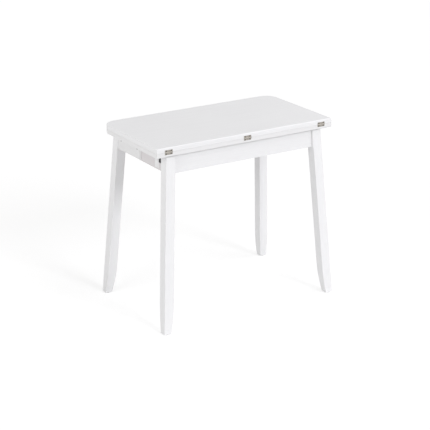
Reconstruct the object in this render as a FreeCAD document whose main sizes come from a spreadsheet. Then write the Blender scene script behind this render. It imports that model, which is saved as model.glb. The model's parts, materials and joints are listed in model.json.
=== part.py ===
import FreeCAD, Part
import os
import re
import Sketcher

# White folding dining table with a stacked two-leaf top. The top slides back on a runner at each end
# of the frame, then the upper leaf folds forward on three hinges and doubles the table.
# Millimetres. The origin is on the floor under the middle of the table, +X is the long way to the
# right, +Y goes to the back and +Z is up. The hinges are on the front edge, at -Y.

# Driving dimensions, one sheet cell each
SIZES = {
    # Top
    "table_height": 750,
    "top_length": 815,
    "top_depth": 440,
    "leaf_thickness": 19,
    "leaf_gap": 0.4,
    "corner_radius": 55,
    "edge_round": 4,
    "seam_round": 0.5,
    # Frame under the top
    "slide_gap": 4,
    "end_overhang": 47.5,
    "side_overhang": 10,
    "leg_width": 40,
    "leg_splay_endways": 47,
    "leg_splay_sideways": 50,
    "foot_curve_height": 125,
    "foot_taper": 10,
    "apron_height": 71,
    "apron_thickness": 18,
    "apron_recess": 8,
    # Ends of the frame, from the end apron outwards
    "end_board_lift": 1.5,
    "end_apron_recess": 26,
    "end_apron_thickness": 14,
    "slot_width": 8,
    "slot_depth": 48,
    "slot_end_gap": 2,
    "guide_thickness": 18,
    "guide_block": 29,
    "guide_sill": 6,
    "mouth_sill": 30,
    "cleat_thickness": 7.5,
    "cleat_length": 172,
    "cleat_lift": 5,
    "cleat_chamfer": 6,
    "cleat_screw_inset": 21,
    "cleat_screw_land": 1.2,
    "cleat_screw_diameter": 4,
    "cleat_screw_head": 7,
    "cleat_screw_short": 2.5,
    # Runners and stops
    "runner_clearance": 0.4,
    "runner_floor_clearance": 1,
    "flange_width": 36,
    "flange_clearance": 0.6,
    "tongue_reach": 4,
    "tongue_height": 6,
    "tongue_drop": 19,
    "runner_screw_inset": 14,
    "runner_screw_diameter": 4,
    "runner_screw_head": 7.6,
    "runner_screw_length": 16,
    "front_bumper": 31,
    "rear_bumper": 8,
    "bumper_height": 28,
    "bumper_inset": 1.5,
    "stop_clearance": 0.3,
    # Corner brackets
    "corner_room": 30,
    "bracket_thickness": 2,
    "bracket_wing": 28,
    "bracket_height": 18,
    "bracket_drop": 0.6,
    "bracket_screw_spacing": 14,
    "bracket_screw_diameter": 3.5,
    "bracket_screw_head": 7,
    "bracket_screw_head_height": 2,
    "bracket_screw_grip": 12,
    "hanger_bolt_diameter": 6,
    "hanger_bolt_tail": 9,
    "hanger_nut_corners": 11.5,
    "hanger_nut_height": 5,
    # Pads the top slides on, and feet
    "pad_diameter": 20,
    "pad_clearance": 0.4,
    "glide_diameter": 22,
    "glide_height": 3,
    "glide_pin_diameter": 3,
    "glide_pin_length": 14,
    # Hinges
    "hinge_inset": 52.5,
    "hinge_width": 34.5,
    "hinge_plate_thickness": 1.5,
    "hinge_plate_reach": 9.6,
    "hinge_axis_offset": 0.25,
    "knuckle_diameter": 4.4,
    "knuckle_gap": 0.3,
    "hinge_pin_diameter": 2.4,
    "hinge_pin_clearance": 0.05,
    "hinge_screw_spacing": 22,
    "hinge_screw_diameter": 3,
    "hinge_screw_head": 5.6,
    "hinge_screw_length": 14,
    # How far a cutting shape reaches past the face that it cuts
    "cut_margin": 2,
}

# Counts
KNUCKLE_COUNT = 5
NUT_SIDES = 6

# Places and sizes worked out from the driving dimensions
LAYOUT = {
    "half_length": "top_length / 2",
    "half_depth": "top_depth / 2",
    "slide_travel": "half_depth",
    "upper_under": "table_height - leaf_thickness",
    "lower_over": "upper_under - leaf_gap",
    "seam": "upper_under - leaf_gap / 2",
    "top_under": "lower_over - leaf_thickness",
    "frame_top": "top_under - slide_gap",
    "apron_under": "frame_top - apron_height",
    "leg_outside_x": "half_length - end_overhang",
    "leg_outside_y": "half_depth - side_overhang",
    "leg_inside_x": "leg_outside_x - leg_width",
    "leg_inside_y": "leg_outside_y - leg_width",
    "leg_middle_x": "leg_outside_x - leg_width / 2",
    "leg_middle_y": "leg_outside_y - leg_width / 2",
    "foot_middle_x": "leg_outside_x + leg_splay_endways - (leg_width - foot_taper) / 2",
    "foot_middle_y": "leg_outside_y + leg_splay_sideways - (leg_width - foot_taper) / 2",
    "apron_outer": "leg_outside_y - apron_recess",
    "apron_inner": "apron_outer - apron_thickness",
    "end_under": "apron_under + end_board_lift",
    "end_outer": "leg_outside_x - end_apron_recess",
    "end_inner": "end_outer - end_apron_thickness",
    "slot_inner": "end_outer - slot_width",
    "slot_floor": "frame_top - slot_depth",
    "slot_end": "leg_inside_y - slot_end_gap",
    "guide_outer": "end_outer + guide_thickness",
    "guide_front": "block_front + guide_block",
    "block_front": "front_bumper - slot_end",
    "sill_over": "end_under + guide_sill",
    "mouth_floor": "end_under + mouth_sill",
    "cleat_outer": "guide_outer + cleat_thickness",
    "cleat_front": "leg_inside_y - cleat_length",
    "cleat_screw_level": "tongue_under - runner_clearance - cleat_screw_diameter / 2 - cleat_screw_land",
    "cleat_screw_length": "cleat_thickness + guide_thickness - cleat_screw_short",
    "tongue_over": "top_under - tongue_drop",
    "tongue_under": "tongue_over - tongue_height",
    "tongue_outer": "end_outer - runner_clearance + tongue_reach",
    "runner_outer": "end_outer - runner_clearance",
    "runner_inner": "slot_inner + runner_clearance",
    "runner_front": "front_bumper + stop_clearance - slot_end",
    "runner_back": "slot_end - rear_bumper - stop_clearance - slide_travel",
    "flange_inner": "runner_outer - flange_width",
    "flange_under": "frame_top + flange_clearance",
    "runner_screw_line": "(flange_inner + end_inner) / 2",
    "corner_reach": "end_inner - leg_inside_x + apron_inner - leg_inside_y + corner_room",
    "corner_sum": "end_inner + apron_inner - corner_reach",
    "corner_skew": "(end_inner - leg_inside_y + leg_inside_x - apron_inner) / 2",
    "bracket_over": "slot_floor - bracket_drop",
    "bracket_under": "bracket_over - bracket_height",
    "bracket_middle": "bracket_over - bracket_height / 2",
    "hinge_front": "-half_depth",
    "hinge_axis": "-half_depth - hinge_axis_offset",
    "knuckle_room": "knuckle_diameter / 2 + knuckle_gap",
    "knuckle_pitch": f"hinge_width / {KNUCKLE_COUNT}",
    "hinge_spread": "half_length - hinge_inset",
}

HINGE_PLACES = {"left": "-hinge_spread", "centre": "0", "right": "hinge_spread"}
X_AXIS = FreeCAD.Vector(1, 0, 0)
Y_AXIS = FreeCAD.Vector(0, 1, 0)
Z_AXIS = FreeCAD.Vector(0, 0, 1)
DIAGONAL = FreeCAD.Vector(1, 1, 0)
TOUCH = 1e-4

doc = FreeCAD.newDocument("folding_dining_table")
sheet = doc.addObject("Spreadsheet::Sheet", "sizes")
for row, (alias, size) in enumerate(SIZES.items(), start=1):
    sheet.set(f"A{row}", alias)
    sheet.set(f"B{row}", str(size))
    sheet.setAlias(f"B{row}", alias)
doc.recompute()

pieces = []


# Formulas and binding

def formula(text):
    """A size formula in plain words, written out in the sheet's cells."""
    def cell(match):
        word = match.group(0)
        if word in LAYOUT:
            return f"({formula(LAYOUT[word])})"
        return f"sizes.{word}" if word in SIZES else word
    return re.sub(r"[a-z_]+", cell, str(text))


def number(text):
    """What a size formula comes to now, to start a sketch near its final shape."""
    return float(sheet.evalExpression(formula(text)))


def bind(solid, **formulas):
    for name, text in formulas.items():
        solid.setExpression(name, formula(text))


def put(solid, x, y, z):
    for axis, text in zip("xyz", (x, y, z)):
        solid.setExpression(f"Placement.Base.{axis}", formula(text))


def piece(solid, name):
    """Name a finished sub-part of the table."""
    solid.Label = name
    pieces.append(solid)
    return solid


# Solids

def box(name, x, y, z):
    solid = doc.addObject("Part::Box", name)
    lows = [low for low, high in (x, y, z)]
    spans = [f"({high}) - ({low})" for low, high in (x, y, z)]
    bind(solid, Length=spans[0], Width=spans[1], Height=spans[2])
    put(solid, *lows)
    return solid


def turned(solid, along):
    solid.Placement = FreeCAD.Placement(FreeCAD.Vector(), FreeCAD.Rotation(Z_AXIS, along))
    return solid


def rod(name, diameter, length, start, along=Z_AXIS):
    solid = turned(doc.addObject("Part::Cylinder", name), along)
    bind(solid, Radius=f"({diameter}) / 2", Height=length)
    put(solid, *start)
    return solid


def moved(start, along, distance):
    """A start point moved along an axis direction, as formulas."""
    return [f"{place} + ({step:.0f}) * ({distance})" for place, step in zip(start, along)]


def fuse(name, solids):
    whole = doc.addObject("Part::MultiFuse", name)
    whole.Shapes = solids
    whole.Refine = True
    return whole


def group(name, solids):
    whole = doc.addObject("Part::Compound", name)
    whole.Links = solids
    return whole


def cut(name, solid, tools):
    for tool in tools:
        result = doc.addObject("Part::Cut", name)
        result.Base = solid
        result.Tool = tool
        solid = result
    return solid


def mirror(name, solid, across):
    image = doc.addObject("Part::Mirroring", name)
    image.Source = solid
    image.Normal = across
    return image


def four_corners(name, solid):
    """A back right solid and its images at the back left, front right and front left."""
    left = mirror(f"{name}_left", solid, X_AXIS)
    return [solid, left, mirror(f"{name}_front", solid, Y_AXIS), mirror(f"{name}_front_left", left, Y_AXIS)]


def countersunk_screw(name, diameter, head, length, start, along):
    sink = f"({head} - {diameter}) / 2"
    cone = turned(doc.addObject("Part::Cone", f"{name}_head"), along)
    bind(cone, Radius1=f"{head} / 2", Radius2=f"{diameter} / 2", Height=sink)
    put(cone, *start)
    shank = rod(f"{name}_shank", diameter, f"{length} - {sink}", moved(start, along, sink), along)
    return fuse(name, [cone, shank])


def pan_screw(name, diameter, head, head_height, length, start, along):
    """Start is under the head, where the shank goes in."""
    shank = rod(f"{name}_shank", diameter, length, start, along)
    cap = rod(f"{name}_head", head, head_height, moved(start, along, f"-{head_height}"), along)
    return fuse(name, [cap, shank])


# Legs: two flat profiles, seen from the side and from the end, that share one square leg

def leg_profile(name, outside, splay, turn, depth):
    """A leg's outline, straight outside, with the inside curved away at the foot."""
    drop = "(frame_top - glide_height)"
    inside = f"{outside} - leg_width"
    bend_height = "glide_height + foot_curve_height"
    bend = f"{inside} + {splay} * (1 - foot_curve_height / {drop})"
    foot = f"{inside} + {splay} + foot_taper"
    half_way = f"{inside} + {splay} * (1 - foot_curve_height / 2 / {drop}) + foot_taper / 4"
    corners = {
        "top_outside": (outside, "frame_top"),
        "foot_outside": (f"{outside} + {splay}", "glide_height"),
        "foot_inside": (foot, "glide_height"),
        "bend": (bend, bend_height),
        "top_inside": (inside, "frame_top"),
    }
    points = {key: FreeCAD.Vector(number(u), number(v), 0) for key, (u, v) in corners.items()}
    middle = FreeCAD.Vector(number(half_way), number("glide_height + foot_curve_height / 2"), 0)

    sketch = doc.addObject("Sketcher::SketchObject", name)
    sketch.Placement = FreeCAD.Placement(FreeCAD.Vector(), turn)
    outer = sketch.addGeometry(Part.LineSegment(points["top_outside"], points["foot_outside"]))
    sole = sketch.addGeometry(Part.LineSegment(points["foot_outside"], points["foot_inside"]))
    curve = sketch.addGeometry(Part.Arc(points["bend"], middle, points["foot_inside"]))
    inner = sketch.addGeometry(Part.LineSegment(points["bend"], points["top_inside"]))
    top = sketch.addGeometry(Part.LineSegment(points["top_inside"], points["top_outside"]))

    start, end = 1, 2
    for first, second in (((outer, end), (sole, start)), ((sole, end), (curve, end)),
                          ((inner, end), (top, start)), ((top, end), (outer, start))):
        sketch.addConstraint(Sketcher.Constraint("Coincident", *first, *second))
    sketch.addConstraint(Sketcher.Constraint("Tangent", curve, start, inner, start))
    origin = (-1, 1)
    held = {"top_outside": (outer, start), "foot_outside": (outer, end), "foot_inside": (sole, end),
            "bend": (inner, start), "top_inside": (top, start)}
    for key, corner in held.items():
        for kind, text, size in zip(("DistanceX", "DistanceY"), corners[key], points[key]):
            index = sketch.addConstraint(Sketcher.Constraint(kind, *origin, *corner, size))
            sketch.setExpression(f"Constraints[{index}]", formula(text))

    prism = doc.addObject("Part::Extrusion", f"{name}_prism")
    prism.Base = sketch
    prism.DirMode = "Normal"
    prism.Solid = True
    prism.Symmetric = True
    bind(prism, LengthFwd=f"2 * ({depth} + leg_width)")
    return prism


def make_legs(bolt, pin):
    """Make the four drilled legs. The undrilled ones, which trim the boards between them, are returned with
    the back and front outlines seen from the end, drawn out along the table, which trim the end aprons."""
    from_front = leg_profile("leg_from_front", "leg_outside_x", "leg_splay_endways",
                             FreeCAD.Rotation(X_AXIS, 90), "leg_outside_y + leg_splay_sideways")
    from_end = leg_profile("leg_from_end", "leg_outside_y", "leg_splay_sideways",
                           FreeCAD.Rotation(FreeCAD.Vector(1, 1, 1), 120),
                           "leg_outside_x + leg_splay_endways")
    blank = doc.addObject("Part::Common", "leg_blank")
    blank.Base = from_front
    blank.Tool = from_end
    leg = cut("leg_drilled", blank, [bolt, pin])
    places = ("back_right", "back_left", "front_right", "front_left")
    for place, image in zip(places, four_corners("leg", leg)):
        piece(image, f"{place}_leg")
    return four_corners("leg_blank", blank), [from_end, mirror("leg_from_end_front", from_end, Y_AXIS)]


# Hardware that is set out at the back right corner, then mirrored to the others

def make_floor_glides():
    disc = rod("glide_disc", "glide_diameter", "glide_height", ("foot_middle_x", "foot_middle_y", "0"))
    pin = rod("glide_pin", "glide_pin_diameter", "glide_height + glide_pin_length",
              ("foot_middle_x", "foot_middle_y", "0"))
    glide = fuse("glide", [disc, pin])
    piece(group("glides", four_corners("glide", glide)), "floor_glides")
    return pin


def make_top_pads():
    pad = rod("pad", "pad_diameter", "slide_gap - pad_clearance",
              ("leg_middle_x", "leg_middle_y", "frame_top"))
    piece(group("pads", four_corners("pad", pad)), "top_glide_pads")


def diagonal_start(distance):
    """A point on the corner bolt's line, a distance on from the bracket's leg side."""
    return (f"(corner_sum + corner_skew) / 2 + ({distance}) / sqrt(2)",
            f"(corner_sum - corner_skew) / 2 + ({distance}) / sqrt(2)", "bracket_middle")


def make_hanger_bolt():
    reach = "(leg_middle_x + leg_middle_y - corner_sum) / sqrt(2)"
    tail = "(bracket_thickness + hanger_bolt_tail)"
    return rod("bolt", "hanger_bolt_diameter", f"{reach} + {tail}", diagonal_start(f"-{tail}"), DIAGONAL)


def make_hanger_nut(bolt):
    blank = turned(doc.addObject("Part::Prism", "nut_blank"), DIAGONAL)
    blank.Polygon = NUT_SIDES
    bind(blank, Circumradius="hanger_nut_corners / 2", Height="hanger_nut_height")
    put(blank, *diagonal_start("-(bracket_thickness + hanger_nut_height)"))
    return cut("nut", blank, [bolt])


def make_bracket_screws():
    """Two screws through each wing of the back right bracket."""
    wing_middle = "(corner_reach + bracket_wing / 2)"
    length = "bracket_thickness + bracket_screw_grip"
    screws = []
    for side in ("-", "+"):
        step = f"{side} bracket_screw_spacing / 2"
        starts = {
            "apron": ((f"end_inner - {wing_middle} {step}", "apron_inner - bracket_thickness",
                       "bracket_middle"), Y_AXIS),
            "end": (("end_inner - bracket_thickness", f"apron_inner - {wing_middle} {step}",
                     "bracket_middle"), X_AXIS),
        }
        for wing, (start, along) in starts.items():
            screws.append(pan_screw(f"bracket_screw_{wing}", "bracket_screw_diameter", "bracket_screw_head",
                                    "bracket_screw_head_height", length, start, along))
    return group("bracket_screw_set", screws)


def make_brackets(bolt, screws):
    level = ("bracket_under", "bracket_over")
    plate = doc.addObject("Part::Box", "bracket_plate")
    plate.Placement = FreeCAD.Placement(FreeCAD.Vector(), FreeCAD.Rotation(Z_AXIS, -45))
    bind(plate, Length="corner_reach * sqrt(2)", Width="bracket_thickness", Height="bracket_height")
    put(plate, "end_inner - corner_reach - bracket_thickness / sqrt(2)",
        "apron_inner - bracket_thickness / sqrt(2)", "bracket_under")
    apron_wing = box("bracket_apron_wing",
                     ("end_inner - corner_reach - bracket_wing", "end_inner - corner_reach"),
                     ("apron_inner - bracket_thickness", "apron_inner"), level)
    end_wing = box("bracket_end_wing", ("end_inner - bracket_thickness", "end_inner"),
                   ("apron_inner - corner_reach - bracket_wing", "apron_inner - corner_reach"), level)
    bent = fuse("bracket_bent", [plate, apron_wing, end_wing])
    bracket = cut("bracket", bent, [bolt, screws])
    places = ("back_right", "back_left", "front_right", "front_left")
    for place, image in zip(places, four_corners("bracket", bracket)):
        piece(image, f"{place}_corner_bracket")


# Boards of the frame: each end is cut to the slant of the leg that it meets

def make_aprons(legs, fixings):
    span = ("-leg_middle_x", "leg_middle_x")
    level = ("apron_under", "frame_top")
    blank = box("apron_blank", span, ("apron_inner", "apron_outer"), level)
    back = piece(cut("apron", blank, legs[:2] + fixings), "back_apron")
    piece(mirror("apron_front", back, Y_AXIS), "front_apron")


def make_end_aprons(trims, fixings):
    span = ("-leg_middle_y", "leg_middle_y")
    blank = box("end_apron_blank", ("end_inner", "end_outer"), span, ("end_under", "frame_top"))
    slot = box("end_apron_slot", ("slot_inner", "end_outer + cut_margin"), span,
               ("slot_floor", "frame_top + cut_margin"))
    right = piece(cut("end_apron", blank, [slot] + trims + fixings), "right_end_apron")
    piece(mirror("end_apron_left", right, X_AXIS), "left_end_apron")


def make_cleat_screws():
    starts = ("leg_inside_y - cleat_screw_inset", "cleat_front + cleat_screw_inset")
    screws = [countersunk_screw("cleat_screw", "cleat_screw_diameter", "cleat_screw_head",
                                "cleat_screw_length", ("cleat_outer", place, "cleat_screw_level"), -X_AXIS)
              for place in starts]
    pair = group("cleat_screw_pair", screws)
    piece(group("cleat_screw_set", [pair, mirror("cleat_screw_left", pair, X_AXIS)]), "cleat_screws")
    return pair


def make_guides(right_legs, screws):
    """Grooved boards with an outer cleat. Each has a block let in near the front, and a mouth between
    the block and the leg, where the runner goes in before the front bumper closes it."""
    span = ("-leg_middle_y", "leg_middle_y")
    across = ("end_outer", "guide_outer")
    board = box("guide_blank", across, span, ("end_under", "frame_top"))
    groove = box("guide_groove", ("end_outer - cut_margin", "tongue_outer + runner_clearance"), span,
                 ("tongue_under - runner_clearance", "tongue_over + runner_clearance"))
    through = ("end_outer - cut_margin", "guide_outer + cut_margin")
    block_span = ("block_front", "guide_front")
    pocket = box("guide_pocket", through, block_span, ("sill_over", "frame_top + cut_margin"))
    mouth = box("guide_mouth", through, ("-leg_middle_y", "block_front"),
                ("mouth_floor", "frame_top + cut_margin"))
    right = piece(cut("guide", board, [groove, pocket, mouth, screws] + right_legs), "right_guide_board")
    piece(mirror("guide_left", right, X_AXIS), "left_guide_board")

    stub = box("guide_block_blank", across, block_span, ("sill_over", "frame_top"))
    block = piece(cut("guide_block", stub, [groove]), "right_guide_block")
    piece(mirror("guide_block_left", block, X_AXIS), "left_guide_block")

    blank = box("cleat_blank", ("guide_outer", "cleat_outer"), ("cleat_front", "leg_middle_y"),
                ("end_under + cleat_lift", "frame_top"))
    slope = doc.addObject("Part::Box", "cleat_slope")
    slope.Placement = FreeCAD.Placement(FreeCAD.Vector(), FreeCAD.Rotation(Z_AXIS, 45))
    bind(slope, Length="cleat_chamfer * sqrt(2) + 2 * cut_margin", Width="cleat_chamfer",
         Height="apron_height")
    put(slope, "cleat_outer - cleat_chamfer + (cleat_chamfer - cut_margin) / sqrt(2)",
        "cleat_front - (cleat_chamfer + cut_margin) / sqrt(2)", "end_under")
    cleat = piece(cut("cleat", blank, right_legs + [screws, slope]), "right_outer_cleat")
    piece(mirror("cleat_left", cleat, X_AXIS), "left_outer_cleat")


def make_bumpers():
    """Rubber stops at both ends of each slot. The front ones also fill the guide boards' mouths."""
    places = {
        "front": (("slot_inner", "guide_outer - bumper_inset"), ("-slot_end", "block_front"), "mouth_floor"),
        "rear": (("slot_inner", "end_outer"), ("slot_end - rear_bumper", "slot_end"), "slot_floor"),
    }
    for place, (across, span, floor) in places.items():
        block = box(f"{place}_bumper_block", across, span, (floor, f"{floor} + bumper_height"))
        left = mirror(f"{place}_bumper_left", block, X_AXIS)
        piece(group(f"{place}_bumper_pair", [block, left]), f"{place}_stop_bumpers")


# Sliding and folding leaves

def make_runners():
    """A hanging blade with a tongue in the guide board's groove and a flange screwed to the leaf."""
    span = ("runner_front", "runner_back")
    blade = box("runner_blade", ("runner_inner", "runner_outer"), span,
                ("slot_floor + runner_floor_clearance", "top_under"))
    tongue = box("runner_tongue", ("runner_inner", "tongue_outer"), span, ("tongue_under", "tongue_over"))
    flange = box("runner_flange", ("flange_inner", "runner_outer"), span, ("flange_under", "top_under"))
    blank = fuse("runner_blank", [blade, tongue, flange])
    starts = ("runner_front + runner_screw_inset", "runner_back - runner_screw_inset")
    screws = [countersunk_screw("runner_screw", "runner_screw_diameter", "runner_screw_head",
                                "runner_screw_length", ("runner_screw_line", place, "flange_under"), Z_AXIS)
              for place in starts]
    pair = group("runner_screw_pair", screws)
    right = piece(cut("runner", blank, [pair]), "right_runner")
    piece(mirror("runner_left", right, X_AXIS), "left_runner")
    return piece(group("runner_screw_set", [pair, mirror("runner_screw_left", pair, X_AXIS)]),
                 "runner_screws")


def make_hinge_screws(name, level):
    screws = []
    for place in HINGE_PLACES.values():
        for side in ("-", "+"):
            start = (f"{place} {side} hinge_screw_spacing / 2", "hinge_front", level)
            screws.append(countersunk_screw(f"{name}_one", "hinge_screw_diameter", "hinge_screw_head",
                                            "hinge_screw_length", start, Y_AXIS))
    return piece(group(f"{name}_set", screws), name)


def make_hinge_plates(side, rise, knuckles, bore, screws):
    """One flush plate on each hinge, with its share of the knuckles. Rise is 1 up, -1 down."""
    low, high = sorted((0, rise))
    thickness = ("hinge_front", "hinge_front + hinge_plate_thickness")
    reach = sorted((f"seam + ({rise}) * knuckle_room", f"seam + ({rise}) * hinge_plate_reach"),
                   key=number)
    length = "knuckle_pitch - knuckle_gap"
    for name, place in HINGE_PLACES.items():
        edge = f"{place} - hinge_width / 2"
        solids = [box("hinge_flat", (edge, f"{edge} + hinge_width"), thickness, reach)]
        for index in knuckles:
            begin = f"{edge} + {index} * knuckle_pitch + knuckle_gap / 2"
            solids.append(rod("hinge_knuckle", "knuckle_diameter", length,
                              (begin, "hinge_axis", "seam"), X_AXIS))
            solids.append(box("hinge_neck", (begin, f"{begin} + {length}"), thickness,
                              (f"seam + ({low}) * knuckle_room", f"seam + ({high}) * knuckle_room")))
        hole = rod("hinge_bore", bore, "hinge_width + 2 * cut_margin",
                   (f"{edge} - cut_margin", "hinge_axis", "seam"), X_AXIS)
        plate = cut("hinge_plate", fuse("hinge_solid", solids), [hole, screws])
        piece(plate, f"{name}_hinge_{side}_plate")


def make_hinge_pins():
    pins = [rod("hinge_pin", "hinge_pin_diameter", "hinge_width",
                (f"{place} - hinge_width / 2", "hinge_axis", "seam"), X_AXIS)
            for place in HINGE_PLACES.values()]
    piece(group("hinge_pin_set", pins), "hinge_pins")


def hinge_recesses(rise):
    """Cutting boxes for the plates and for the knuckles, in one leaf's front edge."""
    front = "hinge_front - cut_margin"
    plate_depth = (front, "hinge_front + hinge_plate_thickness")
    knuckle_depth = (front, "hinge_front + knuckle_room - hinge_axis_offset")
    plate_level = sorted((f"seam + ({rise}) * knuckle_room", f"seam + ({rise}) * hinge_plate_reach"),
                         key=number)
    knuckle_level = sorted(("seam", f"seam + ({rise}) * knuckle_room"), key=number)
    tools = []
    for place in HINGE_PLACES.values():
        span = (f"{place} - hinge_width / 2", f"{place} + hinge_width / 2")
        tools.append(box("plate_recess", span, plate_depth, plate_level))
        tools.append(box("knuckle_recess", span, knuckle_depth, knuckle_level))
    return tools


def leaf_board(name, under, outside_is_up):
    """A board with round back corners, well rounded outside edges and eased edges at the seam."""
    body = doc.addObject("PartDesign::Body", name)
    body.setExpression("Placement.Base.z", formula(under))
    plane = next(item for item in body.Origin.OriginFeatures if item.Role == "XY_Plane")
    sketch = body.newObject("Sketcher::SketchObject", f"{name}_outline")
    sketch.AttachmentSupport = (plane, [""])
    sketch.MapMode = "FlatFace"
    right, back = number("half_length"), number("half_depth")
    corners = [FreeCAD.Vector(u, v, 0) for u, v in
               ((-right, -back), (right, -back), (right, back), (-right, back))]
    sides = [sketch.addGeometry(Part.LineSegment(corners[index - 1], corners[index])) for index in range(4)]
    start, end = 1, 2
    for index in range(4):
        sketch.addConstraint(Sketcher.Constraint("Coincident", sides[index - 1], end, sides[index], start))
        sketch.addConstraint(Sketcher.Constraint(("Vertical", "Horizontal")[index % 2], sides[index]))
    origin = (-1, 1)
    sketch.addConstraint(Sketcher.Constraint("Symmetric", sides[0], end, sides[2], end, *origin))
    for kind, side, text in (("DistanceX", sides[1], "top_length"), ("DistanceY", sides[2], "top_depth")):
        index = sketch.addConstraint(Sketcher.Constraint(kind, side, start, side, end, number(text)))
        sketch.setExpression(f"Constraints[{index}]", formula(text))

    pad = body.newObject("PartDesign::Pad", f"{name}_pad")
    pad.Profile = sketch
    bind(pad, Length="leaf_thickness")
    doc.recompute()

    def rounded(base, radius, wanted):
        edges = [f"Edge{index}" for index, edge in enumerate(base.Shape.Edges, start=1)
                 if wanted(edge.BoundBox)]
        fillet = body.newObject("PartDesign::Fillet", f"{name}_{radius}")
        fillet.Base = (base, edges)
        bind(fillet, Radius=radius)
        doc.recompute()
        return fillet

    highest = pad.Shape.BoundBox.ZMax
    backmost = pad.Shape.BoundBox.YMax
    rounds = {"edge_round": outside_is_up, "seam_round": not outside_is_up}
    solid = rounded(pad, "corner_radius", lambda edge: edge.YMin > backmost - TOUCH and edge.ZLength > TOUCH)
    for radius, upper in rounds.items():
        level = highest if upper else 0
        solid = rounded(solid, radius,
                        lambda edge: max(abs(edge.ZMin - level), abs(edge.ZMax - level)) < TOUCH)
    return body


def make_leaves(runner_screws):
    lower_knuckles = range(0, KNUCKLE_COUNT, 2)
    upper_knuckles = range(1, KNUCKLE_COUNT, 2)
    plate_middle = "(knuckle_room + hinge_plate_reach) / 2"

    lower_screws = make_hinge_screws("hinge_lower_screws", f"seam - {plate_middle}")
    make_hinge_plates("lower", -1, lower_knuckles, "hinge_pin_diameter", lower_screws)
    make_hinge_pins()
    lower = leaf_board("lower_board", "top_under", outside_is_up=False)
    piece(cut("lower_cut", lower, hinge_recesses(-1) + [lower_screws, runner_screws]), "lower_leaf")

    upper_screws = make_hinge_screws("hinge_upper_screws", f"seam + {plate_middle}")
    make_hinge_plates("upper", 1, upper_knuckles, "hinge_pin_diameter + 2 * hinge_pin_clearance",
                      upper_screws)
    upper = leaf_board("upper_board", "upper_under", outside_is_up=True)
    piece(cut("upper_cut", upper, hinge_recesses(1) + [upper_screws]), "upper_leaf")


def make_table():
    glide_pin = make_floor_glides()
    make_top_pads()
    bolt = make_hanger_bolt()
    legs, end_trims = make_legs(bolt, glide_pin)
    corner_screws = make_bracket_screws()
    make_brackets(bolt, corner_screws)
    bracket_screws = group("bracket_screw_all", four_corners("bracket_screw", corner_screws))
    hanger_bolts = group("bolt_set", four_corners("bolt", bolt))
    fixings = [piece(bracket_screws, "bracket_screws"), piece(hanger_bolts, "hanger_bolts")]
    piece(group("nut_set", four_corners("nut", make_hanger_nut(bolt))), "hanger_nuts")
    make_aprons(legs, fixings)
    make_end_aprons(end_trims, fixings)
    back_right_leg, back_left_leg, front_right_leg, front_left_leg = legs
    make_guides([back_right_leg, front_right_leg], make_cleat_screws())
    make_bumpers()
    make_leaves(make_runners())


def check_and_write():
    doc.recompute()
    for item in doc.Objects:
        if "Invalid" in item.State or "Error" in item.State:
            raise RuntimeError(f"{item.Label} failed: {item.State}")
    for solid in pieces:
        if solid.Shape.isNull() or not solid.Shape.isValid() or not solid.Shape.Solids:
            raise RuntimeError(f"{solid.Label} has no sound shape")
    os.makedirs("parts", exist_ok=True)
    for solid in pieces:
        solid.Shape.exportStep(f"parts/{solid.Label}.step")
        print(f"{solid.Label}: {len(solid.Shape.Solids)} solids, {solid.Shape.Volume / 1000:.2f} cm3")


make_table()
check_and_write()
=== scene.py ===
import bmesh
import bpy
import json
import math
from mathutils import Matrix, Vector

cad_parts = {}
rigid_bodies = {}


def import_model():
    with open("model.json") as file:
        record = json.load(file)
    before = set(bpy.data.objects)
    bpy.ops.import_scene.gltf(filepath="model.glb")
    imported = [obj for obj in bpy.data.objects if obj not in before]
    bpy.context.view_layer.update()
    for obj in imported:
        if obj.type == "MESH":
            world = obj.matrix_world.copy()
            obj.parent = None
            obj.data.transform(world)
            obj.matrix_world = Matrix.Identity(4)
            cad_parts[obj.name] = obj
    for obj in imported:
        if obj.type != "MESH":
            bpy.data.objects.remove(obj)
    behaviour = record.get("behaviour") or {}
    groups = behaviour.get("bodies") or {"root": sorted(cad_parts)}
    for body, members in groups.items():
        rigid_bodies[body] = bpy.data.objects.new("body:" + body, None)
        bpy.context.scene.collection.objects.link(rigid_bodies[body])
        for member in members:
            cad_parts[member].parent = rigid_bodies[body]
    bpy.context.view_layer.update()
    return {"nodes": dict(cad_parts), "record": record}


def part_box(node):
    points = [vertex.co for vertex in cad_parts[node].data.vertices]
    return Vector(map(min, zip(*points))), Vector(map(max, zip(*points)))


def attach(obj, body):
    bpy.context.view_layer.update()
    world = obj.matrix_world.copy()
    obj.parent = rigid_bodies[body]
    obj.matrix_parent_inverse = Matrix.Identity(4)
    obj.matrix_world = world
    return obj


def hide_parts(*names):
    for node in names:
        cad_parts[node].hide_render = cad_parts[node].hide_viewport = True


# White folding table with a stacked two-leaf top. Metres, +Z up, hinged edge at the front (-Y).

for leftover in list(bpy.data.objects):
    bpy.data.objects.remove(leftover)

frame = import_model()
nodes = frame["nodes"]
record = frame["record"]
bodyOf = {node: body for body, members in record["behaviour"]["bodies"].items() for node in members}
slotOf = {part["node"]: part["material_slot"] for part in record["subparts"]}
corners = ["back_right", "back_left", "front_right", "front_left"]
mm = 0.001


# Node tree helpers

def addNode(tree, kind, **settings):
    node = tree.nodes.new(kind)
    for name, value in settings.items():
        setattr(node, name, value)
    return node


def feed(tree, socket, value):
    if isinstance(value, bpy.types.NodeSocket):
        tree.links.new(value, socket)
    else:
        socket.default_value = value


def feedAll(tree, sockets, values):
    for name, value in values.items():
        feed(tree, sockets[name], value)


def calculate(tree, operation, *values):
    node = addNode(tree, "ShaderNodeMath", operation=operation)
    for socket, value in zip(node.inputs, values):
        feed(tree, socket, value)
    return node.outputs[0]


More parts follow.
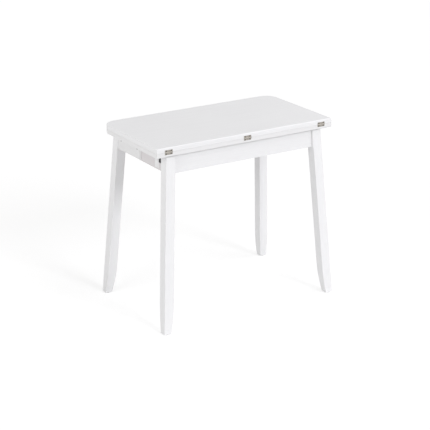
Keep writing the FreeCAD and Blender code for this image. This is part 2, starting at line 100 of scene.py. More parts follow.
def stretch(tree, place, factors):
    node = addNode(tree, "ShaderNodeVectorMath", operation="MULTIPLY")
    feed(tree, node.inputs[0], place)
    feed(tree, node.inputs[1], factors)
    return node.outputs[0]


def remap(tree, value, low, high, newLow, newHigh):
    node = addNode(tree, "ShaderNodeMapRange", clamp=True)
    for socket, number in zip(node.inputs, (value, low, high, newLow, newHigh)):
        feed(tree, socket, number)
    return node.outputs[0]


def noise(tree, place, scale, detail, roughness=0.5):
    node = addNode(tree, "ShaderNodeTexNoise")
    feedAll(tree, node.inputs, {"Vector": place, "Scale": scale, "Detail": detail, "Roughness": roughness})
    return node.outputs[0]


def mixColour(tree, factor, first, second):
    node = addNode(tree, "ShaderNodeMix", data_type="RGBA")
    colourInputs = [socket for socket in node.inputs if socket.type == "RGBA"]
    feed(tree, node.inputs[0], factor)
    feed(tree, colourInputs[0], first)
    feed(tree, colourInputs[1], second)
    return next(socket for socket in node.outputs if socket.type == "RGBA")


def startTree(name, kind, inputs, outputs):
    tree = bpy.data.node_groups.new(name, kind)
    for label, socketKind in inputs:
        tree.interface.new_socket(label, in_out="INPUT", socket_type=f"NodeSocket{socketKind}")
    for label, socketKind in outputs:
        tree.interface.new_socket(label, in_out="OUTPUT", socket_type=f"NodeSocket{socketKind}")
    return tree, addNode(tree, "NodeGroupInput").outputs, addNode(tree, "NodeGroupOutput").inputs


# Effects that several finishes share

woodGrain = {
    "bandStretch": (1, 1, 0.03), "bandDetail": 4, "bandRoughness": 0.62, "bandRange": (0.3, 0.7),
    "poreStretch": (1, 1, 0.012), "poreFineness": 7, "poreDetail": 2, "poreRange": (0.56, 0.7),
    "poreTone": 0.3,
}


def makeWoodGrain(spec):
    # streaks run along the third axis of Place
    tree, given, result = startTree("woodGrain", "ShaderNodeTree",
                                    [("Place", "Vector"), ("Fineness", "Float")],
                                    [("Streak", "Float"), ("Height", "Float")])
    bandPlace = stretch(tree, given["Place"], spec["bandStretch"])
    bands = noise(tree, bandPlace, given["Fineness"], spec["bandDetail"], spec["bandRoughness"])
    streak = remap(tree, bands, *spec["bandRange"], 0, 1)
    porePlace = stretch(tree, given["Place"], spec["poreStretch"])
    poreScale = calculate(tree, "MULTIPLY", given["Fineness"], spec["poreFineness"])
    pores = remap(tree, noise(tree, porePlace, poreScale, spec["poreDetail"]), *spec["poreRange"], 0, 1)
    poreTone = calculate(tree, "MULTIPLY", pores, spec["poreTone"])
    feed(tree, result["Streak"], calculate(tree, "SUBTRACT", streak, poreTone))
    feed(tree, result["Height"], calculate(tree, "SUBTRACT", streak, pores))
    return tree


edgeWear = {"detail": 3, "range": (0.45, 0.65), "least": 0.15}


def makeEdgeWear(spec):
    # breaks up the eased arris into rubbed and whole stretches
    tree, given, result = startTree("edgeWear", "ShaderNodeTree",
                                    [("Arris", "Float"), ("Place", "Vector"), ("Patch", "Float")],
                                    [("Mask", "Float")])
    patches = noise(tree, given["Place"], given["Patch"], spec["detail"])
    rubbed = remap(tree, patches, *spec["range"], spec["least"], 1)
    feed(tree, result["Mask"], calculate(tree, "MULTIPLY", given["Arris"], rubbed))
    return tree


clouds = {"detail": 3, "range": (0.3, 0.7)}


def makeClouds(spec):
    # slow drift in tone or gloss over a whole face
    tree, given, result = startTree("clouds", "ShaderNodeTree",
                                    [("Place", "Vector"), ("Scale", "Float")], [("Value", "Float")])
    drift = noise(tree, given["Place"], given["Scale"], spec["detail"])
    feed(tree, result["Value"], remap(tree, drift, *spec["range"], 0, 1))
    return tree


brushedLines = {"stretch": (0.02, 1, 1), "detail": 3, "roughness": 0.7, "range": (0.3, 0.7)}


def makeBrushedLines(spec):
    # hair lines along X
    tree, given, result = startTree("brushedLines", "ShaderNodeTree",
                                    [("Place", "Vector"), ("Fineness", "Float")], [("Line", "Float")])
    place = stretch(tree, given["Place"], spec["stretch"])
    lines = noise(tree, place, given["Fineness"], spec["detail"], spec["roughness"])
    feed(tree, result["Line"], remap(tree, lines, *spec["range"], 0, 1))
    return tree


mouldedSkin = {"detail": 3, "high": 0.4}


def makeMouldedSkin(spec):
    # fine pebble of a mould's face
    tree, given, result = startTree("mouldedSkin", "ShaderNodeTree",
                                    [("Place", "Vector"), ("Grain", "Float")], [("Value", "Float")])
    cells = addNode(tree, "ShaderNodeTexVoronoi")
    feedAll(tree, cells.inputs, {"Vector": given["Place"], "Scale": given["Grain"]})
    fine = noise(tree, given["Place"], given["Grain"], spec["detail"])
    feed(tree, result["Value"], calculate(tree, "MULTIPLY", cells.outputs["Distance"], fine))
    return tree


effects = {
    "woodGrain": makeWoodGrain(woodGrain), "edgeWear": makeEdgeWear(edgeWear), "clouds": makeClouds(clouds),
    "brushedLines": makeBrushedLines(brushedLines), "mouldedSkin": makeMouldedSkin(mouldedSkin),
}
print("shared effects:", ", ".join(effects))


# Finishes

def newMaterial(name, metallic=0):
    material = bpy.data.materials.new(name)
    material.use_nodes = True
    tree = material.node_tree
    shader = tree.nodes["Principled BSDF"]
    shader.inputs["Metallic"].default_value = metallic
    return material, tree, shader


def useEffect(tree, name, **values):
    node = addNode(tree, "ShaderNodeGroup", node_tree=effects[name])
    feedAll(tree, node.inputs, values)
    return node.outputs


def readAttribute(tree, name):
    return addNode(tree, "ShaderNodeAttribute", attribute_name=name).outputs


def objectPlace(tree):
    return addNode(tree, "ShaderNodeTexCoord").outputs["Object"]


def cloudAndWear(tree, place, spec):
    cloud = useEffect(tree, "clouds", Place=place, Scale=spec["cloud"])["Value"]
    arris = readAttribute(tree, "arris")["Fac"]
    wear = useEffect(tree, "edgeWear", Arris=arris, Place=place, Patch=spec["patch"])["Mask"]
    return cloud, wear


def feedShader(tree, shader, tone, roughness, height, spec):
    bump = addNode(tree, "ShaderNodeBump")
    feedAll(tree, bump.inputs, {"Height": height, "Strength": spec["bump"], "Distance": spec["relief"]})
    feedAll(tree, shader.inputs, {"Base Color": tone, "Roughness": roughness,
                                  "Normal": bump.outputs["Normal"]})


def makePaintedWood(name, spec):
    material, tree, shader = newMaterial(name)
    place = readAttribute(tree, "grainPlace")["Vector"]
    grain = useEffect(tree, "woodGrain", Place=place, Fineness=spec["fineness"])
    cloud, wear = cloudAndWear(tree, place, spec)
    streaks = calculate(tree, "MULTIPLY", grain["Streak"], spec["streakShare"])
    rubs = calculate(tree, "MULTIPLY", wear, spec["wearShare"])
    tone = mixColour(tree, streaks, spec["white"], spec["streak"])
    # painted shade: darkens the board towards its painted-shade colour by the share each piece is given,
    # for faces that lie in shade
    tone = mixColour(tree, readAttribute(tree, "paintedShadeShare")["Fac"], tone, spec["dull"])
    tone = mixColour(tree, rubs, tone, spec["rubbed"])
    feedShader(tree, shader, tone, remap(tree, cloud, 0, 1, *spec["gloss"]), grain["Height"], spec)
    return material


def makeBrushedMetal(name, spec):
    material, tree, shader = newMaterial(name, metallic=1)
    place = objectPlace(tree)
    line = useEffect(tree, "brushedLines", Place=place, Fineness=spec["fineness"])["Line"]
    cloud, wear = cloudAndWear(tree, place, spec)
    tone = mixColour(tree, line, spec["dark"], spec["light"])
    tone = mixColour(tree, wear, tone, spec["bare"])
    feedShader(tree, shader, tone, remap(tree, cloud, 0, 1, *spec["gloss"]), line, spec)
    return material


def makeMouldedFinish(name, spec):
    material, tree, shader = newMaterial(name)
    place = objectPlace(tree)
    skin = useEffect(tree, "mouldedSkin", Place=place, Grain=spec["grain"])["Value"]
    cloud, wear = cloudAndWear(tree, place, spec)
    tone = mixColour(tree, cloud, spec["dark"], spec["light"])
    tone = mixColour(tree, wear, tone, spec["rubbed"])
    feedShader(tree, shader, tone, remap(tree, skin, 0, mouldedSkin["high"], *spec["gloss"]), skin, spec)
    return material


# fineness, cloud, patch and grain are the scales of the patterns, in cells to the metre
# the dull colour of each white is painted shade, for faces that lie in shade
whiteLacquer = {
    "white": (0.84, 0.84, 0.847, 1), "streak": (0.80, 0.80, 0.806, 1), "rubbed": (0.74, 0.73, 0.71, 1),
    "dull": (0.76, 0.758, 0.76, 1), "fineness": 190, "cloud": 5, "patch": 40, "streakShare": 0.6,
    "wearShare": 0.35, "gloss": (0.36, 0.46), "bump": 0.35, "relief": 0.05 * mm,
}
# a darker, warmer white that paints shade and warm bounced light onto the guide boards recessed under the
# top
paintedShadeBoard = {
    "white": (0.7, 0.677, 0.684, 1), "streak": (0.653, 0.626, 0.628, 1), "rubbed": (0.624, 0.598, 0.58, 1),
    "dull": (0.624, 0.598, 0.6, 1), "fineness": 170, "cloud": 6, "patch": 40, "streakShare": 0.6,
    "wearShare": 0.3, "gloss": (0.5, 0.62), "bump": 0.35, "relief": 0.07 * mm,
}
hingeNickel = {
    "dark": (0.34, 0.318, 0.286, 1), "light": (0.44, 0.41, 0.37, 1), "bare": (0.54, 0.503, 0.455, 1),
    "fineness": 2200, "cloud": 60, "patch": 400, "gloss": (0.34, 0.48), "bump": 0.4, "relief": 0.02 * mm,
}
blackOxide = {
    "dark": (0.09, 0.086, 0.08, 1), "light": (0.16, 0.152, 0.142, 1), "bare": (0.28, 0.265, 0.25, 1),
    "fineness": 900, "cloud": 300, "patch": 500, "gloss": (0.4, 0.6), "bump": 0.4, "relief": 0.02 * mm,
}
zincPlate = {
    "dark": (0.5, 0.51, 0.53, 1), "light": (0.66, 0.665, 0.67, 1), "bare": (0.72, 0.72, 0.71, 1),
    "fineness": 700, "cloud": 90, "patch": 200, "gloss": (0.28, 0.42), "bump": 0.4, "relief": 0.02 * mm,
}
blackRubber = {
    "dark": (0.016, 0.016, 0.017, 1), "light": (0.03, 0.03, 0.031, 1), "rubbed": (0.07, 0.068, 0.066, 1),
    "grain": 1500, "cloud": 120, "patch": 150, "gloss": (0.62, 0.8), "bump": 0.5, "relief": 0.08 * mm,
}
blackNylon = {
    "dark": (0.014, 0.014, 0.015, 1), "light": (0.024, 0.024, 0.025, 1), "rubbed": (0.06, 0.06, 0.06, 1),
    "grain": 1200, "cloud": 90, "patch": 130, "gloss": (0.42, 0.58), "bump": 0.5, "relief": 0.04 * mm,
}
whiteNylon = {
    "dark": (0.74, 0.735, 0.71, 1), "light": (0.79, 0.785, 0.765, 1), "rubbed": (0.66, 0.65, 0.62, 1),
    "grain": 1200, "cloud": 80, "patch": 120, "gloss": (0.42, 0.56), "bump": 0.5, "relief": 0.04 * mm,
}
greyGlide = {
    "dark": (0.3, 0.3, 0.3, 1), "light": (0.38, 0.38, 0.375, 1), "rubbed": (0.46, 0.455, 0.45, 1),
    "grain": 900, "cloud": 100, "patch": 120, "gloss": (0.5, 0.7), "bump": 0.5, "relief": 0.06 * mm,
}
finishes = {
    "white_lacquer": makePaintedWood("whiteLacquer", whiteLacquer),
    "sealed_board": makePaintedWood("paintedShadeBoard", paintedShadeBoard),
    "hinge_metal": makeBrushedMetal("hingeNickel", hingeNickel),
    "dark_screw": makeBrushedMetal("blackOxide", blackOxide),
    "zinc_steel": makeBrushedMetal("zincPlate", zincPlate),
    "black_rubber": makeMouldedFinish("blackRubber", blackRubber),
    "black_nylon": makeMouldedFinish("blackNylon", blackNylon),
    "white_nylon": makeMouldedFinish("whiteNylon", whiteNylon),
    "grey_glide": makeMouldedFinish("greyGlide", greyGlide),
}
print("finishes:", len(finishes))


# Boards, plates and pads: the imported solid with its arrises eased

easing = {  # angles in degrees
    "mergeWithin": 0.002 * mm, "levelWithin": 0.01 * mm, "flatWithin": 0.2, "smoothBelow": 38,
    "profile": 0.5, "patternShift": (0.37, 0.61, 1.3),
}


def camelName(node):
    first, *rest = node.split("_")
    return first + "".join(word.capitalize() for word in rest)


def mergedSolid(node):
    source = nodes[node].data
    plain = bpy.data.meshes.new("plain")
    plain.from_pydata([vert.co[:] for vert in source.vertices], [],
                      [face.vertices[:] for face in source.polygons])
    solid = bmesh.new()
    solid.from_mesh(plain)
    bpy.data.meshes.remove(plain)
    bmesh.ops.remove_doubles(solid, verts=solid.verts, dist=easing["mergeWithin"])
    return solid


def placePiece(mesh, node):
    mesh.name = camelName(node)
    mesh.shade_smooth()
    mesh.set_sharp_from_angle(angle=math.radians(easing["smoothBelow"]))
    piece = bpy.data.objects.new(mesh.name, mesh)
    bpy.context.scene.collection.objects.link(piece)
    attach(piece, bodyOf[node])
    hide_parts(node)
    return piece


def lieOfGrain(node, way):
    # where a point lies in the board, with the grain along the third axis
    if way == "x":
        return lambda point: Vector((point.y, point.z, point.x))
    if way == "y":
        return lambda point: Vector((point.x, point.z, point.y))
    low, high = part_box(node)  # a splayed leg, so the grain leans with it
    tops = [vert.co for vert in nodes[node].data.vertices if high.z - vert.co.z < easing["levelWithin"]]
    lean = Vector((0, 0, 0))
    for axis in (0, 1):
        outside = max if low[axis] + high[axis] > 0 else min
        lean[axis] = outside(low[axis], high[axis], key=abs) - outside(top[axis] for top in tops)
    lean /= high.z - low.z
    return lambda point: point - lean * (high.z - point.z)


def layGrainAndShade(solid, node, spec):
    grainPlace = solid.verts.layers.float_vector.new("grainPlace")
    paintedShadeShare = solid.verts.layers.float.new("paintedShadeShare")
    place = lieOfGrain(node, spec["grain"])
    shift = Vector(easing["patternShift"]) * sorted(nodes).index(node)  # no two boards share a pattern
    for vert in solid.verts:
        vert[grainPlace] = place(vert.co) + shift
        # painted shade: the share by which this piece is darkened towards its painted-shade colour
        vert[paintedShadeShare] = spec.get("dull", {}).get(node, 0)


def easePiece(node, spec):
    solid = mergedSolid(node)
    arris = solid.loops.layers.float.new("arris")
    bmesh.ops.dissolve_limit(solid, angle_limit=math.radians(easing["flatWithin"]), verts=solid.verts,
                             edges=solid.edges)
    sharp = [edge for edge in solid.edges if len(edge.link_faces) == 2 and edge.is_convex
             and edge.calc_face_angle() > math.radians(spec["sharperThan"])
             and edge.calc_length() > spec["longerThan"]]
    eased = bmesh.ops.bevel(solid, geom=sharp, offset=spec["arris"], offset_type="OFFSET",
                            profile=easing["profile"], segments=spec["steps"], affect="EDGES",
                            clamp_overlap=True)
    for face in eased["faces"]:
        for loop in face.loops:
            loop[arris] = 1
    bmesh.ops.dissolve_degenerate(solid, dist=easing["mergeWithin"], edges=solid.edges)
    if "grain" in spec:
        layGrainAndShade(solid, node, spec)
    mesh = bpy.data.meshes.new("eased")
    solid.to_mesh(mesh)
    solid.free()
    mesh.materials.append(finishes[slotOf[node]])
    piece = placePiece(mesh, node)
    evenNormals = piece.modifiers.new("evenNormals", "WEIGHTED_NORMAL")  # keeps wide faces flat
    evenNormals.keep_sharp = True


# an edge is eased where it is sharper, in degrees, and longer than the piece's dictionary says
legs = {
    "nodes": [f"{corner}_leg" for corner in corners], "grain": "leg",
    "arris": 1.2 * mm, "steps": 3, "sharperThan": 40, "longerThan": 4 * mm,
}
aprons = {
    "nodes": ["front_apron", "back_apron"], "grain": "x",
    "arris": 0.6 * mm, "steps": 2, "sharperThan": 40, "longerThan": 4 * mm,
}
endBoards = {
    "nodes": [f"{side}_{board}" for side in ("left", "right")
              for board in ("end_apron", "guide_board", "guide_block", "outer_cleat")], "grain": "y",
    # painted shade on the outer cleats and guide blocks, which lie in shade under the top's overhang
    "dull": {"left_outer_cleat": 0.9, "right_outer_cleat": 0.9,
             "left_guide_block": 0.45, "right_guide_block": 0.45},
    "arris": 0.4 * mm, "steps": 2, "sharperThan": 40, "longerThan": 3 * mm,
}
leaves = {
    # painted shade darkens the lower leaf's edge below the upper one
    "nodes": ["lower_leaf", "upper_leaf"], "grain": "x", "dull": {"lower_leaf": 0.6},
    "arris": 0.25 * mm, "steps": 2, "sharperThan": 60, "longerThan": 1.2 * mm,
}
hingePlates = {
    "nodes": [f"{place}_hinge_{leaf}_plate" for place in ("left", "centre", "right")
              for leaf in ("lower", "upper")],
    "arris": 0.2 * mm, "steps": 2, "sharperThan": 50, "longerThan": 1 * mm,
}
hingePins = {
    "nodes": ["hinge_pins"],
    "arris": 0.3 * mm, "steps": 2, "sharperThan": 50, "longerThan": 0,
}
brackets = {
    "nodes": [f"{corner}_corner_bracket" for corner in corners],
    "arris": 0.3 * mm, "steps": 2, "sharperThan": 40, "longerThan": 1.5 * mm,
}
bracketNuts = {
    "nodes": ["hanger_nuts"],
    "arris": 0.4 * mm, "steps": 2, "sharperThan": 40, "longerThan": 1.5 * mm,
}
runners = {
    "nodes": ["left_runner", "right_runner"],
    "arris": 0.35 * mm, "steps": 2, "sharperThan": 40, "longerThan": 2 * mm,
}
bumpers = {
    "nodes": ["front_stop_bumpers", "rear_stop_bumpers"],
    "arris": 1 * mm, "steps": 3, "sharperThan": 40, "longerThan": 1 * mm,
}
pads = {
    "nodes": ["top_glide_pads", "floor_glides"],
    "arris": 0.6 * mm, "steps": 2, "sharperThan": 60, "longerThan": 0.8 * mm,
}

for spec in (legs, aprons, endBoards, leaves, hingePlates, hingePins, brackets, bracketNuts, runners,
             bumpers, pads):
    for node in spec["nodes"]:
        easePiece(node, spec)
    print("eased:", ", ".join(spec["nodes"]))


# Screws and studs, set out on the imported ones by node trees

def solidBoxes(node):
    solid = mergedSolid(node)
    waiting = set(solid.verts)
    boxes = []
    while waiting:
        found = [waiting.pop()]
        for vert in found:
            near = {edge.other_vert(vert) for edge in vert.link_edges} & waiting
            waiting -= near
            found.extend(near)
        boxes.append([Vector([pick(vert.co[axis] for vert in found) for axis in range(3)])
                      for pick in (min, max)])
    solid.free()
    # in one order every time, by the low corner to a tenth of a millimetre
    return sorted(boxes, key=lambda box: tuple(round(number, 4) for number in box[0]))


def lifted(tree, geometry, height):
    place = addNode(tree, "ShaderNodeCombineXYZ")
    feed(tree, place.inputs["Z"], height)
    move = addNode(tree, "GeometryNodeTransform")
    feedAll(tree, move.inputs, {"Geometry": geometry, "Translation": place.outputs[0]})
    return move.outputs[0]


turnedParts = {"sides": 24, "turnSteps": 16, "ridgeSides": 3, "ridgeShare": 0.32}  # share of the pitch


def stump(tree, near, far, depth, start):
    # a cone's stump along +Z
    cone = addNode(tree, "GeometryNodeMeshCone", fill_type="NGON")
    feedAll(tree, cone.inputs, {"Vertices": turnedParts["sides"], "Radius Bottom": near, "Radius Top": far,
                                "Depth": depth})
    return lifted(tree, cone.outputs["Mesh"], start)


def threadRidge(tree, radius, length, pitch, start):
    helix = addNode(tree, "GeometryNodeCurveSpiral")
    feedAll(tree, helix.inputs, {"Resolution": turnedParts["turnSteps"], "Height": length,
                                 "Rotations": calculate(tree, "DIVIDE", length, pitch),
                                 "Start Radius": radius, "End Radius": radius})
    ridge = addNode(tree, "GeometryNodeCurvePrimitiveCircle", mode="RADIUS")
    ridgeRadius = calculate(tree, "MULTIPLY", pitch, turnedParts["ridgeShare"])
    feedAll(tree, ridge.inputs, {"Resolution": turnedParts["ridgeSides"], "Radius": ridgeRadius})
    sweep = addNode(tree, "GeometryNodeCurveToMesh")
    feedAll(tree, sweep.inputs, {"Curve": helix.outputs[0], "Profile Curve": ridge.outputs[0],
                                 "Fill Caps": True})
    return lifted(tree, sweep.outputs[0], start)


def combine(tree, operation, first, others):
    node = addNode(tree, "GeometryNodeMeshBoolean", operation=operation, solver="MANIFOLD")
    if first:
        feed(tree, node.inputs["Mesh 1"], first)
    for other in others:
        feed(tree, node.inputs["Mesh 2"], other)
    return node.outputs[0]


def join(tree, parts):
    node = addNode(tree, "GeometryNodeJoinGeometry")
    for part in parts:
        feed(tree, node.inputs[0], part)
    return node.outputs[0]


def startFixingTree(name, sizes):
    return startTree(name, "GeometryNodeTree",
                     [("Points", "Geometry"), ("Finish", "Material"), ("Seed", "Int"),
                      *[(size, "Float") for size in sizes]], [("Geometry", "Geometry")])


def setOut(tree, given, result, shape):
    # one copy on each point, turned to its "along" direction and a turn of its own about it
    along = addNode(tree, "GeometryNodeInputNamedAttribute", data_type="FLOAT_VECTOR")
    feed(tree, along.inputs["Name"], "along")
    aim = addNode(tree, "FunctionNodeAlignRotationToVector", axis="Z")
    feed(tree, aim.inputs["Vector"], along.outputs[0])
    turn = addNode(tree, "FunctionNodeRandomValue", data_type="FLOAT")
    lowest, highest = [socket for socket in turn.inputs if socket.type == "VALUE"][:2]
    feed(tree, lowest, 0.0)
    feed(tree, highest, math.tau)
    feed(tree, turn.inputs["Seed"], given["Seed"])
    spin = addNode(tree, "FunctionNodeAxisAngleToRotation")
    angle = next(socket for socket in turn.outputs if socket.type == "VALUE")
    feedAll(tree, spin.inputs, {"Axis": (0, 0, 1), "Angle": angle})
    both = addNode(tree, "FunctionNodeRotateRotation", rotation_space="LOCAL")
    feedAll(tree, both.inputs, {"Rotation": aim.outputs[0], "Rotate By": spin.outputs[0]})
    copies = addNode(tree, "GeometryNodeInstanceOnPoints")
    feedAll(tree, copies.inputs, {"Points": given["Points"], "Instance": shape,
                                  "Rotation": both.outputs[0]})
    solid = addNode(tree, "GeometryNodeRealizeInstances")
    feed(tree, solid.inputs["Geometry"], copies.outputs[0])
    paint = addNode(tree, "GeometryNodeSetMaterial")
    feedAll(tree, paint.inputs, {"Geometry": solid.outputs[0], "Material": given["Finish"]})
    feed(tree, result["Geometry"], paint.outputs[0])


def growFixings(node, tree, starts, sizes, seed):
    # starts holds the place and the direction of each copy
    points = bpy.data.meshes.new("points")
    points.from_pydata([place[:] for place, along in starts], [], [])
    directions = points.attributes.new("along", "FLOAT_VECTOR", "POINT")
    for entry, (place, along) in zip(directions.data, starts):
        entry.vector = along
    carrier = bpy.data.objects.new("carrier", points)
    bpy.context.scene.collection.objects.link(carrier)
    modifier = carrier.modifiers.new("setOut", "NODES")
    modifier.node_group = tree
    values = {"Finish": finishes[slotOf[node]], "Seed": seed, **sizes}
    for socket in tree.interface.items_tree:
        if socket.in_out == "INPUT" and socket.name in values:
            modifier[socket.identifier] = values[socket.name]
    grown = carrier.evaluated_get(bpy.context.evaluated_depsgraph_get())
    shape = bpy.data.meshes.new_from_object(grown)
    bpy.data.objects.remove(carrier)
    print("set out:", node, len(starts), "copies,", len(shape.polygons), "faces")
    placePiece(shape, node)


crossHead = {"tipEnd": 0.12, "slotWidth": 0.27, "plainShare": 0.4}


def crossRecess(tree, width, depth, height, spec):
    slotWidth = calculate(tree, "MULTIPLY", width, spec["slotWidth"])
    slotHeight = calculate(tree, "MULTIPLY", depth, 2)  # its upper half stands clear of the head
    slots = []
    for turn in (0, math.pi / 2):
        size = addNode(tree, "ShaderNodeCombineXYZ")
        feedAll(tree, size.inputs, {"X": width, "Y": slotWidth, "Z": slotHeight})
        blade = addNode(tree, "GeometryNodeMeshCube")
        feed(tree, blade.inputs["Size"], size.outputs[0])
        turned = addNode(tree, "GeometryNodeTransform")
        feedAll(tree, turned.inputs, {"Geometry": blade.outputs["Mesh"], "Rotation": (0, 0, turn)})
        slots.append(lifted(tree, turned.outputs[0], height))
    return combine(tree, "UNION", None, slots)


def makeScrewTree(spec):
    sizes = ["Crown Radius", "Crown Height", "Head Radius", "Sink Radius", "Sink Height", "Shank Radius",
             "Length", "Tip", "Pitch", "Recess Width", "Recess Depth"]
    tree, given, result = startFixingTree("crossHeadScrew", sizes)
    crownTop = calculate(tree, "MULTIPLY", given["Crown Height"], -1)
    crown = stump(tree, given["Crown Radius"], given["Head Radius"], given["Crown Height"], crownTop)
    sink = stump(tree, given["Sink Radius"], given["Shank Radius"], given["Sink Height"], 0.0)
    straight = calculate(tree, "SUBTRACT", given["Length"], given["Tip"])
    shank = stump(tree, given["Shank Radius"], given["Shank Radius"],
                  calculate(tree, "SUBTRACT", straight, given["Sink Height"]), given["Sink Height"])
    tipEnd = calculate(tree, "MULTIPLY", given["Shank Radius"], spec["tipEnd"])
    tip = stump(tree, given["Shank Radius"], tipEnd, given["Tip"], straight)
    body = combine(tree, "UNION", None, [crown, sink, shank, tip])
    recess = crossRecess(tree, given["Recess Width"], given["Recess Depth"], crownTop, spec)
    head = combine(tree, "DIFFERENCE", body, [recess])
    plain = calculate(tree, "MULTIPLY", straight, spec["plainShare"])
    threaded = calculate(tree, "MULTIPLY", straight, 1 - spec["plainShare"])
    ridge = threadRidge(tree, given["Shank Radius"], threaded, given["Pitch"], plain)
    setOut(tree, given, result, join(tree, [ridge, head]))
    return tree


def screwStarts(node, goesIn, proud):
    starts = []
    for low, high in solidBoxes(node):
        size, middle = high - low, (low + high) / 2
        axis = max(range(3), key=lambda index: size[index])
        outwards = math.copysign(1, middle[axis])
        sign = {"plus": 1, "outwards": outwards, "inwards": -outwards}[goesIn]
        along = Vector((0, 0, 0))
        along[axis] = sign
        start = middle.copy()
        start[axis] = low[axis] if sign > 0 else high[axis]
        starts.append((start + along * proud, along))
    return starts


tipLength = 2.4  # shank radii
# shares of the head's radius, but a pan head's recess depth is a share of its height
flatHead = {"crown": 0.86, "crownHeight": 0.12 * mm, "recessWidth": 1.15, "recessDepth": 0.42}
roundHead = {"crown": 0.7, "neck": 1 * mm, "recessWidth": 1.1, "recessDepth": 0.6}


def countersunk(headRadius, shankRadius, length, pitch):
    return {"Crown Radius": headRadius * flatHead["crown"], "Crown Height": flatHead["crownHeight"],
            "Head Radius": headRadius, "Sink Radius": headRadius, "Sink Height": headRadius - shankRadius,
            "Shank Radius": shankRadius, "Length": length, "Tip": shankRadius * tipLength, "Pitch": pitch,
            "Recess Width": headRadius * flatHead["recessWidth"],
            "Recess Depth": headRadius * flatHead["recessDepth"]}


def panHead(headRadius, headHeight, shankRadius, length, pitch):
    return {"Crown Radius": headRadius * roundHead["crown"], "Crown Height": headHeight,
            "Head Radius": headRadius, "Sink Radius": shankRadius, "Sink Height": roundHead["neck"],
            "Shank Radius": shankRadius, "Length": length, "Tip": shankRadius * tipLength, "Pitch": pitch,
            "Recess Width": headRadius * roundHead["recessWidth"],
            "Recess Depth": headHeight * roundHead["recessDepth"]}


hingeScrew = countersunk(headRadius=2.8 * mm, shankRadius=1.5 * mm, length=14 * mm, pitch=1.1 * mm)
cleatScrew = countersunk(headRadius=3.5 * mm, shankRadius=2 * mm, length=23 * mm, pitch=1.4 * mm)
runnerScrew = countersunk(headRadius=3.8 * mm, shankRadius=2 * mm, length=16 * mm, pitch=1.4 * mm)
bracketScrew = panHead(headRadius=3.5 * mm, headHeight=2 * mm, shankRadius=1.75 * mm, length=14 * mm,
                       pitch=1.3 * mm)
screwSets = {  # goesIn is the way that the tip points along the screw's own axis
    "hinge_lower_screws": {"sizes": hingeScrew, "goesIn": "plus", "seed": 3},
    "hinge_upper_screws": {"sizes": hingeScrew, "goesIn": "plus", "seed": 8},
    "cleat_screws": {"sizes": cleatScrew, "goesIn": "inwards", "seed": 5},
    "runner_screws": {"sizes": runnerScrew, "goesIn": "plus", "seed": 2},
    "bracket_screws": {"sizes": bracketScrew, "goesIn": "outwards", "seed": 6},
}
screwTree = makeScrewTree(crossHead)
for node, spec in screwSets.items():
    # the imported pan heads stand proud, and the countersunk ones lie level
    proud = spec["sizes"]["Crown Height"] if spec["goesIn"] == "outwards" else 0
    growFixings(node, screwTree, screwStarts(node, spec["goesIn"], proud), spec["sizes"], spec["seed"])

hangerBolts = {"lead": 0.5 * mm, "pitch": 1 * mm, "threadedShare": 0.9, "seed": 4}


def makeStudTree():
    sizes = ["Radius", "Length", "Lead", "Pitch", "Threaded Share"]
    tree, given, result = startFixingTree("threadedStud", sizes)
    leadRadius = calculate(tree, "SUBTRACT", given["Radius"], given["Lead"])
    lead = stump(tree, leadRadius, given["Radius"], given["Lead"], 0.0)
    rod = stump(tree, given["Radius"], given["Radius"],
                calculate(tree, "SUBTRACT", given["Length"], given["Lead"]), given["Lead"])
    threaded = calculate(tree, "MULTIPLY", given["Length"], given["Threaded Share"])
    ridge = threadRidge(tree, given["Radius"], threaded, given["Pitch"], given["Lead"])
    setOut(tree, given, result, join(tree, [ridge, combine(tree, "UNION", None, [lead, rod])]))
    return tree


def makeHangerBolts(spec):
    boxes = solidBoxes("hanger_bolts")
    low, high = boxes[-1]  # all are alike
    radius = (high.z - low.z) / 2
    length = Vector((high.x - low.x, high.y - low.y, 0)).length - 2 * radius  # they lie at 45 degrees
    starts = []
    for low, high in boxes:
        middle = (low + high) / 2
        along = Vector((math.copysign(1, middle.x), math.copysign(1, middle.y), 0)).normalized()
        starts.append((middle - along * length / 2, along))
    sizes = {"Radius": radius, "Length": length, "Lead": spec["lead"], "Pitch": spec["pitch"],
             "Threaded Share": spec["threadedShare"]}
    growFixings("hanger_bolts", makeStudTree(), starts, sizes, spec["seed"])


makeHangerBolts(hangerBolts)


# Studio: white floor and surround, two far lamps, and a soft box near each end of the table

studio = {
    "floorSize": 60, "floorCells": 4, "floorColour": (0.88, 0.88, 0.88, 1), "floorShare": 0.55,
    "floorGlow": {"from": 0.8, "to": 3.2, "near": 1.26, "far": 1.34},
    "roomLight": 0.431, "roomColour": (1, 0.99, 0.98, 1), "seenLight": 1, "seenColour": (1, 1, 1, 1),
    "lampsAim": 0.5,
}
farLamps = {
    "key": {"strength": 1.358, "softness": 20, "height": 28, "side": 10, "colour": (0.97, 0.972, 1)},
    "leftFill": {"strength": 0.578, "softness": 30, "height": 20, "side": -70, "colour": (1, 1, 1)},
}
softBoxes = {
    "rightBox": {"strength": 0.701, "softness": 30, "height": 50, "side": 60, "distance": 3,
                 "colour": (0.97, 0.972, 1)},
    "leftBox": {"strength": 0.435, "softness": 40, "height": 20, "side": -84, "distance": 1.6,
                "colour": (1, 1, 1)},
}


def seenDirectly(tree):
    # 1 for camera, glossy and transmission rays
    path = addNode(tree, "ShaderNodeLightPath").outputs
    seen = calculate(tree, "MAXIMUM", path["Is Camera Ray"], path["Is Glossy Ray"])
    return calculate(tree, "MAXIMUM", seen, path["Is Transmission Ray"])


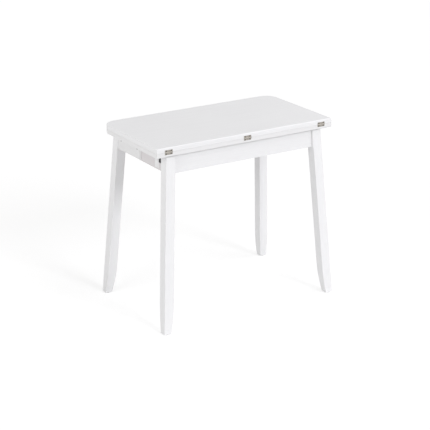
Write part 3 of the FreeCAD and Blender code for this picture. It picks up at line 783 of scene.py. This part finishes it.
def makeFloorPaint(spec):
    material = bpy.data.materials.new("studioFloor")
    material.use_nodes = True
    tree = material.node_tree
    tree.nodes.remove(tree.nodes["Principled BSDF"])
    matt = addNode(tree, "ShaderNodeBsdfDiffuse")
    feed(tree, matt.inputs["Color"], spec["floorColour"])
    # the glow makes up for the soft boxes, which light the far floor less
    distance = addNode(tree, "ShaderNodeVectorMath", operation="LENGTH")
    feed(tree, distance.inputs[0], objectPlace(tree))
    rise = spec["floorGlow"]
    strength = remap(tree, distance.outputs["Value"], rise["from"], rise["to"], rise["near"], rise["far"])
    glow = addNode(tree, "ShaderNodeEmission")
    feed(tree, glow.inputs["Strength"], strength)
    both = addNode(tree, "ShaderNodeMixShader")
    feed(tree, both.inputs[0], calculate(tree, "MULTIPLY", seenDirectly(tree), spec["floorShare"]))
    feed(tree, both.inputs[1], matt.outputs[0])
    feed(tree, both.inputs[2], glow.outputs[0])
    feed(tree, tree.nodes["Material Output"].inputs["Surface"], both.outputs[0])
    return material


def makeFloor(spec):
    grid = bmesh.new()
    bmesh.ops.create_grid(grid, x_segments=spec["floorCells"], y_segments=spec["floorCells"],
                          size=spec["floorSize"] / 2)
    mesh = bpy.data.meshes.new("floor")
    grid.to_mesh(mesh)
    grid.free()
    mesh.materials.append(makeFloorPaint(spec))
    floor = bpy.data.objects.new("floor", mesh)
    bpy.context.scene.collection.objects.link(floor)


def makeSurround(spec):
    world = bpy.data.worlds.new("surround")
    bpy.context.scene.world = world
    world.use_nodes = True
    tree = world.node_tree
    seen = seenDirectly(tree)
    feedAll(tree, tree.nodes["Background"].inputs, {
        "Color": mixColour(tree, seen, spec["roomColour"], spec["seenColour"]),
        "Strength": remap(tree, seen, 0, 1, spec["roomLight"], spec["seenLight"])})


def hangLamp(name, lamp, spec, distance):
    # side 0 shines from the front, positive from the right; strength is the light on the table's middle
    lamp.color = spec["colour"]
    holder = bpy.data.objects.new(name, lamp)
    bpy.context.scene.collection.objects.link(holder)
    rise, turn = math.radians(spec["height"]), math.radians(spec["side"])
    towards = Vector((math.sin(turn) * math.cos(rise), -math.cos(turn) * math.cos(rise), math.sin(rise)))
    holder.location = Vector((0, 0, studio["lampsAim"])) + towards * distance
    holder.rotation_mode = "QUATERNION"
    holder.rotation_quaternion = towards.to_track_quat("Z", "Y")
    return holder


def makeFarLamp(name, spec):
    lamp = bpy.data.lights.new(name, "SUN")
    lamp.energy = spec["strength"]
    lamp.angle = math.radians(spec["softness"])
    hangLamp(name, lamp, spec, 0)


def makeSoftBox(name, spec):
    lamp = bpy.data.lights.new(name, "AREA")
    lamp.shape = "DISK"
    lamp.size = 2 * spec["distance"] * math.tan(math.radians(spec["softness"]) / 2)
    lamp.energy = spec["strength"] * math.pi * spec["distance"] ** 2
    hangLamp(name, lamp, spec, spec["distance"]).visible_camera = False


makeFloor(studio)
makeSurround(studio)
for name, spec in farLamps.items():
    makeFarLamp(name, spec)
for name, spec in softBoxes.items():
    makeSoftBox(name, spec)
bpy.context.scene.view_settings.view_transform = "Standard"
print("studio ready:", ", ".join([*farLamps, *softBoxes]))


# Camera, at the photograph's angle

shot = {
    "position": (-2.7095, -4.272, 2.1892), "target": (-0.0108, 0, 0.3455),
    "lens": 109.32, "sensor": 36, "seesTo": 200,
}


def makeCamera(spec):
    lens = bpy.data.cameras.new("shot")
    lens.lens = spec["lens"]
    lens.sensor_width = spec["sensor"]
    lens.clip_end = spec["seesTo"]
    camera = bpy.data.objects.new("shot", lens)
    bpy.context.scene.collection.objects.link(camera)
    camera.location = spec["position"]
    camera.rotation_mode = "QUATERNION"
    camera.rotation_quaternion = (Vector(spec["target"]) - camera.location).to_track_quat("-Z", "Y")
    bpy.context.scene.camera = camera


makeCamera(shot)
print("camera ready")
